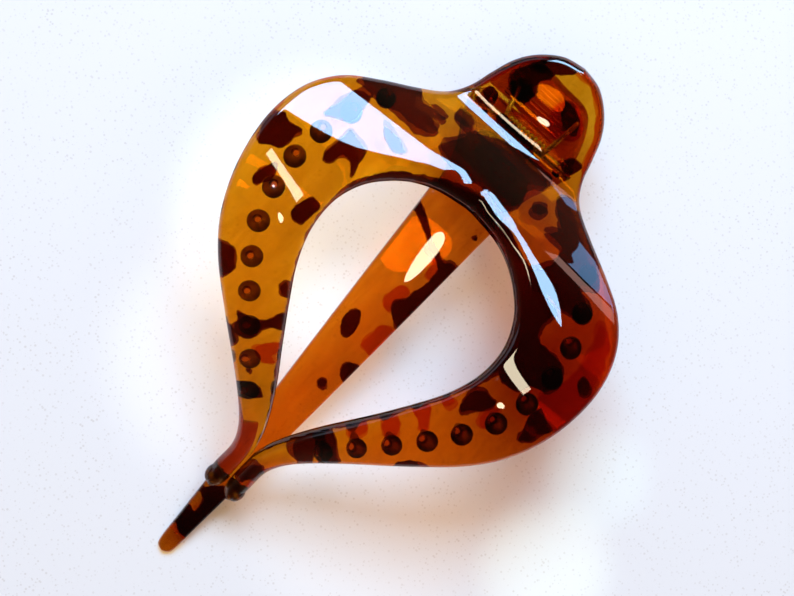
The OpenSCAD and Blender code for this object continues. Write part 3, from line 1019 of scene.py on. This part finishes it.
jaw_plastic = tortoiseshell("tortoiseshell_acetate", "#dba632", "#ce9622", 780)
tongue_plastic = tortoiseshell("tongue_tortoiseshell_acetate", "#dd9230", "#ce7f26", 1000)
spring_steel = steel("drawn_steel")
print("materials:", bpy.data.materials.keys())

# %% [markdown]
# Each piece gets its material, and says which solid it replaces and which body it moves with.

# %% Places in the frame
for obj, mat, cad, body, finish in (
    (upper_jaw, jaw_plastic, "upper_jaw", "upper", "tortoiseshell"),
    (lower_jaw, tongue_plastic, "lower_jaw", "lower", "tortoiseshell"),
    (hinge_pin, spring_steel, "hinge_pin", "lower", "spring_steel"),
    (spring_coil, spring_steel, "spring_coil", "lower", "spring_steel"),
    (spring_leg, spring_steel, "spring_leg", "upper", "spring_steel"),
):
    obj.data.materials.clear()
    obj.data.materials.append(mat)
    polished(obj)
    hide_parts(cad)
    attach(obj, body)

# %% [markdown]
# The clip lies on a pale table. A large window stands beyond the hinge and gives the broad white gleam across
# the left shoulder and the streak along the opening. The rest is soft light from all round.

# %% Table and camera
TABLE_HALF = 3
# The camera's place in the clip's own frame, and where its image's right side and lower side point
CAMERA_AT = (15.35, -71.36, 464.29)
CAMERA_RIGHT = (-0.6572, 0.7495, 0.0789)
CAMERA_DOWN = (0.7513, 0.6433, 0.1473)
FOCAL_PX = 2202
IMAGE_WIDTH = 794
SENSOR = 36


def table_top(name):
    """A matt, pale table top with fine grey specks, denser in some patches than in others."""
    mat, t = new_material(name)
    place = (node(t, "TexCoord"), "Object")
    # Cells under a millimetre wide. The random colour of each says how large its speck is
    cells = node(t, "TexVoronoi", {"Scale": 1300}, {"Vector": place})
    pick = node(t, "SeparateColor", None, {"Color": (cells, "Color")})
    size = ranged(t, (pick, 0), low=0.3, to_high=0.28)
    apart = node(t, "Math", None, {0: (cells, "Distance"), 1: size}, operation="SUBTRACT")
    bare = ranged(t, (apart, 0), -0.02, 0.14)
    # Patches about 17 mm wide, in which specks are fainter or stronger
    patch = node(t, "TexNoise", {"Scale": 60, "Detail": 3}, {"Vector": place})
    tone = ranged(t, (patch, "Fac"), 0.3, 0.7, to_low=0.35)
    bare_tone = node(t, "Mix", {MIX_LOW: 1.0}, {0: tone, MIX_HIGH: bare})
    shade = mixed(t, (bare_tone, 0), linear("#b5aea5"), linear("#c6c3be"))
    dull = node(t, "BsdfPrincipled", {"Roughness": 0.6}, {"Base Color": shade})
    node(t, "OutputMaterial", None, {"Surface": (dull, 0)})
    return mat


table_mesh = bpy.data.meshes.new("table")
corners = [(x * TABLE_HALF, y * TABLE_HALF, 0) for x, y in ((-1, -1), (1, -1), (1, 1), (-1, 1))]
table_mesh.from_pydata(corners, [], [(0, 1, 2, 3)])
table_mesh.materials.append(table_top("pale_table"))
table = placed("table", table_mesh)

# %% Camera
camera_data = bpy.data.cameras.new("camera")
camera_data.sensor_width = SENSOR
camera_data.lens = FOCAL_PX / IMAGE_WIDTH * SENSOR
camera = placed("camera", camera_data)
right = turned(CAMERA_RIGHT)
right /= np.linalg.norm(right)
up = -turned(CAMERA_DOWN)
up -= right * np.dot(up, right)
up /= np.linalg.norm(up)
pose = np.eye(4)
pose[:3] = np.stack([right, up, np.cross(right, up), at_rest(CAMERA_AT)], 1)
camera.matrix_world = Matrix(pose.tolist())
scene.camera = camera
print("lens:", round(camera_data.lens, 1), "mm, camera at", camera.location)

# %% Lights
# How far the panels stand from the clip, in metres, and how high the soft patches' lamps are
PANEL_DISTANCE = 1.6
PATCH_HEIGHT = 0.45


def toward(azimuth, elevation):
    """Unit direction from the clip: azimuth from +X towards +Y, and elevation above the table, in degrees."""
    a, e = radians(azimuth), radians(elevation)
    return Vector((cos(a) * cos(e), sin(a) * cos(e), sin(e)))


def lamp(name, kind, colour):
    """A light of one kind and colour, and its data."""
    data = bpy.data.lights.new(name, kind)
    data.color = linear(colour)[:3]
    return placed(name, data), data


def panel(name, azimuth, elevation, wide, high, radiance, colour, roll=0, shape="RECTANGLE", seen=True):
    """A flat light that faces the clip and covers wide by high degrees of its sky.

    Its power is its radiance times pi times its area. One that isn't seen leaves no reflection.
    """
    light, data = lamp(name, "AREA", colour)
    data.shape = shape
    data.size = 2 * PANEL_DISTANCE * tan(radians(wide / 2))
    data.size_y = 2 * PANEL_DISTANCE * tan(radians(high / 2))
    data.energy = radiance * pi * data.size * data.size_y
    at = toward(azimuth, elevation)
    facing = at.to_track_quat("Z", "Y").to_matrix().to_4x4() @ Matrix.Rotation(radians(roll), 4, "Z")
    light.matrix_world = Matrix.Translation(at * PANEL_DISTANCE) @ facing
    light.visible_glossy = seen
    light.visible_transmission = seen
    return light


def soft_patch(name, x, y, reach, energy, colour):
    """A light without shadows straight above a point of the table. It fades to nothing at its reach."""
    light, data = lamp(name, "SPOT", colour)
    data.energy = energy
    data.spot_size = 2 * atan(reach / PATCH_HEIGHT)
    data.spot_blend = 1
    data.use_shadow = False
    light.location = (x, y, PATCH_HEIGHT)
    light.visible_glossy = False


# %% Window, room lights and soft patches
# The window as the plastic mirrors it, and the light that it throws on the table
window = panel("window", 193, 49.2, 38, 29.9, 27, "#aad6ff")
window.visible_diffuse = False
panel("window_glow", 216, 47, 38, 26, 23, "#c0dcff", seen=False)
# The rest of the room, which gives the smaller gleams and the warm shadows
panel("side_window", -110, 30, 50, 24, 1, "#cfe0ff")
panel("blue_wall", 160, 18, 9, 13, 6.5, "#84b8f4")
panel("warm_wall", 160, 29, 10, 6, 4, "#ffc8bb")
panel("ceiling_lamp", 54, 78.5, 2.6, 3.5, 22, "#ffe9c4", shape="ELLIPSE")
panel("ceiling_strip", 161.6, 82.7, 20, 3.4, 18, "#fff0cf", roll=6)
panel("room_fill", 0, 89, 90, 90, 0.85, "#ffd2a4", seen=False)
# Light that comes in low under the arch and round the right arm, as soft patches on the table, in metres
soft_patch("under_left_arm", -0.01, -0.02, 0.038, 8, "#d4ecff")
soft_patch("under_the_neck", -0.024, 0.014, 0.028, 2, "#e6e6f0")
soft_patch("beside_the_tip", 0.026, -0.014, 0.034, 3.2, "#e8f2ff")
soft_patch("below_right_arm", 0.032, 0.03, 0.036, 1.6, "#fff4e0")
soft_patch("past_right_arm", 0.018, 0.069, 0.019, 3, "#ddfff0")
soft_patch("right_of_shoulder", -0.005, 0.065, 0.015, 1.8, "#b8ffff")


# %% The room's own light
def room_light(name, horizon=0.28, overhead=0.03):
    """A warm, dim room all round. It is brighter low down, where walls are, than overhead."""
    world = bpy.data.worlds.new(name)
    world.use_nodes = True
    t = world.node_tree
    t.nodes.clear()
    place = node(t, "TexCoord")
    parts = node(t, "SeparateXYZ", None, {0: (place, "Generated")})
    strength = ranged(t, (parts, "Z"), 0.0, 0.8, horizon, overhead, interpolation_type="SMOOTHSTEP")
    room = node(t, "Background", {"Color": linear("#e6c8a8")}, {"Strength": strength})
    node(t, "OutputWorld", None, {"Surface": (room, 0)})
    return world


scene.world = room_light("room")
scene.view_settings.view_transform = "Standard"
# Enough bounces for light to cross both skins of both jaws and come back
scene.cycles.max_bounces = 24
scene.cycles.transmission_bounces = 20
scene.cycles.transparent_max_bounces = 24
scene.cycles.use_denoising = True
scene.cycles.sample_clamp_indirect = 6
print("lights:", bpy.data.lights.keys())
